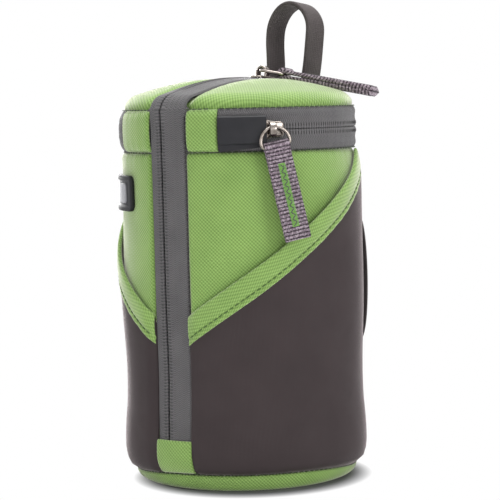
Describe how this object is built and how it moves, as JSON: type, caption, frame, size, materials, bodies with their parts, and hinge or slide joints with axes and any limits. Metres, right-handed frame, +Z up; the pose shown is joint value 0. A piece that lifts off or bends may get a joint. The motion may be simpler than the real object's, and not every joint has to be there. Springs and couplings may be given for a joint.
{
  "type": "lens pouch",
  "caption": "Padded round pouch for a camera lens: a domed lid zips round its rim, a zip runs down the side, and it has stretch pockets, a grab loop and a belt loop.",
  "frame": {"origin": "middle of the underside of the base", "axes": "+Z up through the lid, -Y towards the side zip, +Y towards the belt loop"},
  "size_m": [0.117, 0.1189, 0.2182],
  "materials": {
    "green_cloth": "woven nylon, leaf green",
    "stretch_cloth": "smooth charcoal stretch cloth",
    "zip_tape": "coated grey zip tape",
    "zip_coil": "dark nylon coil",
    "lining": "pale grey brushed lining",
    "foam": "closed-cell padding",
    "black_rubber": "moulded rubber, satin",
    "pull_webbing": "ribbed grey webbing with a green stitched strip",
    "dark_webbing": "dark grey-brown webbing",
    "nickel": "polished nickel plate"
  },
  "bodies": {
    "case": {"base_panel": "green_cloth", "base_foam": "foam", "base_lining": "lining", "wall_cover": "green_cloth", "wall_foam": "foam", "wall_lining": "lining", "rim_binding": "zip_tape", "side_tape_left": "zip_tape", "side_coil_left": "zip_coil", "side_tape_right": "zip_tape", "side_coil_right": "zip_coil", "side_end_tab": "green_cloth", "pocket_left": "stretch_cloth", "pocket_binding_left": "green_cloth", "pocket_right": "stretch_cloth", "pocket_binding_right": "green_cloth", "hinge_band_right": "green_cloth", "hinge_band_left": "green_cloth", "top_tape_lower": "zip_tape", "top_coil_lower": "zip_coil", "zip_garage": "black_rubber", "badge_patch": "black_rubber", "badge_plate": "nickel", "belt_loop": "dark_webbing"},
    "lid": {"lid_panel_left": "green_cloth", "lid_foam_left": "foam", "lid_lining_left": "lining", "lid_tape_left": "zip_tape", "lid_coil_left": "zip_coil", "lid_panel_right": "green_cloth", "lid_foam_right": "foam", "lid_lining_right": "lining", "lid_tape_right": "zip_tape", "lid_coil_right": "zip_coil", "top_tape_upper": "zip_tape", "top_coil_upper": "zip_coil", "grab_loop": "dark_webbing"},
    "rim_slider": {"top_slider": "nickel"},
    "rim_pull": {"top_pull_ring": "nickel", "top_pull_webbing": "pull_webbing"},
    "lid_slider": {"side_slider": "nickel"},
    "lid_pull": {"side_pull_ring": "nickel", "side_pull_webbing": "pull_webbing"}
  },
  "joints": [
    {"name": "lid_hinge", "type": "hinge", "parent": "case", "child": "lid", "pos_m": [0, -0.0546, 0.16845], "axis": [1, 0, 0], "range_deg": [0, 110]},
    {"name": "top_zip_travel", "type": "hinge", "parent": "case", "child": "rim_slider", "pos_m": [0, 0, 0.159], "axis": [0, 0, 1], "range_deg": [0, 251]},
    {"name": "top_pull_swing", "type": "hinge", "parent": "rim_slider", "child": "rim_pull", "pos_m": [0.04725, -0.03433, 0.159], "axis": [-0.577, -0.7941, -0.1908], "range_deg": [0, 165]},
    {"name": "side_zip_travel", "type": "hinge", "parent": "lid", "child": "lid_slider", "pos_m": [0, 0, 0.0322], "axis": [1, 0, 0], "range_deg": [0, 21]},
    {"name": "side_pull_swing", "type": "hinge", "parent": "lid_slider", "child": "lid_pull", "pos_m": [0, 0.01855, 0.18548], "axis": [0.3739, -0.9261, 0.0506], "range_deg": [0, 150]}
  ]
}
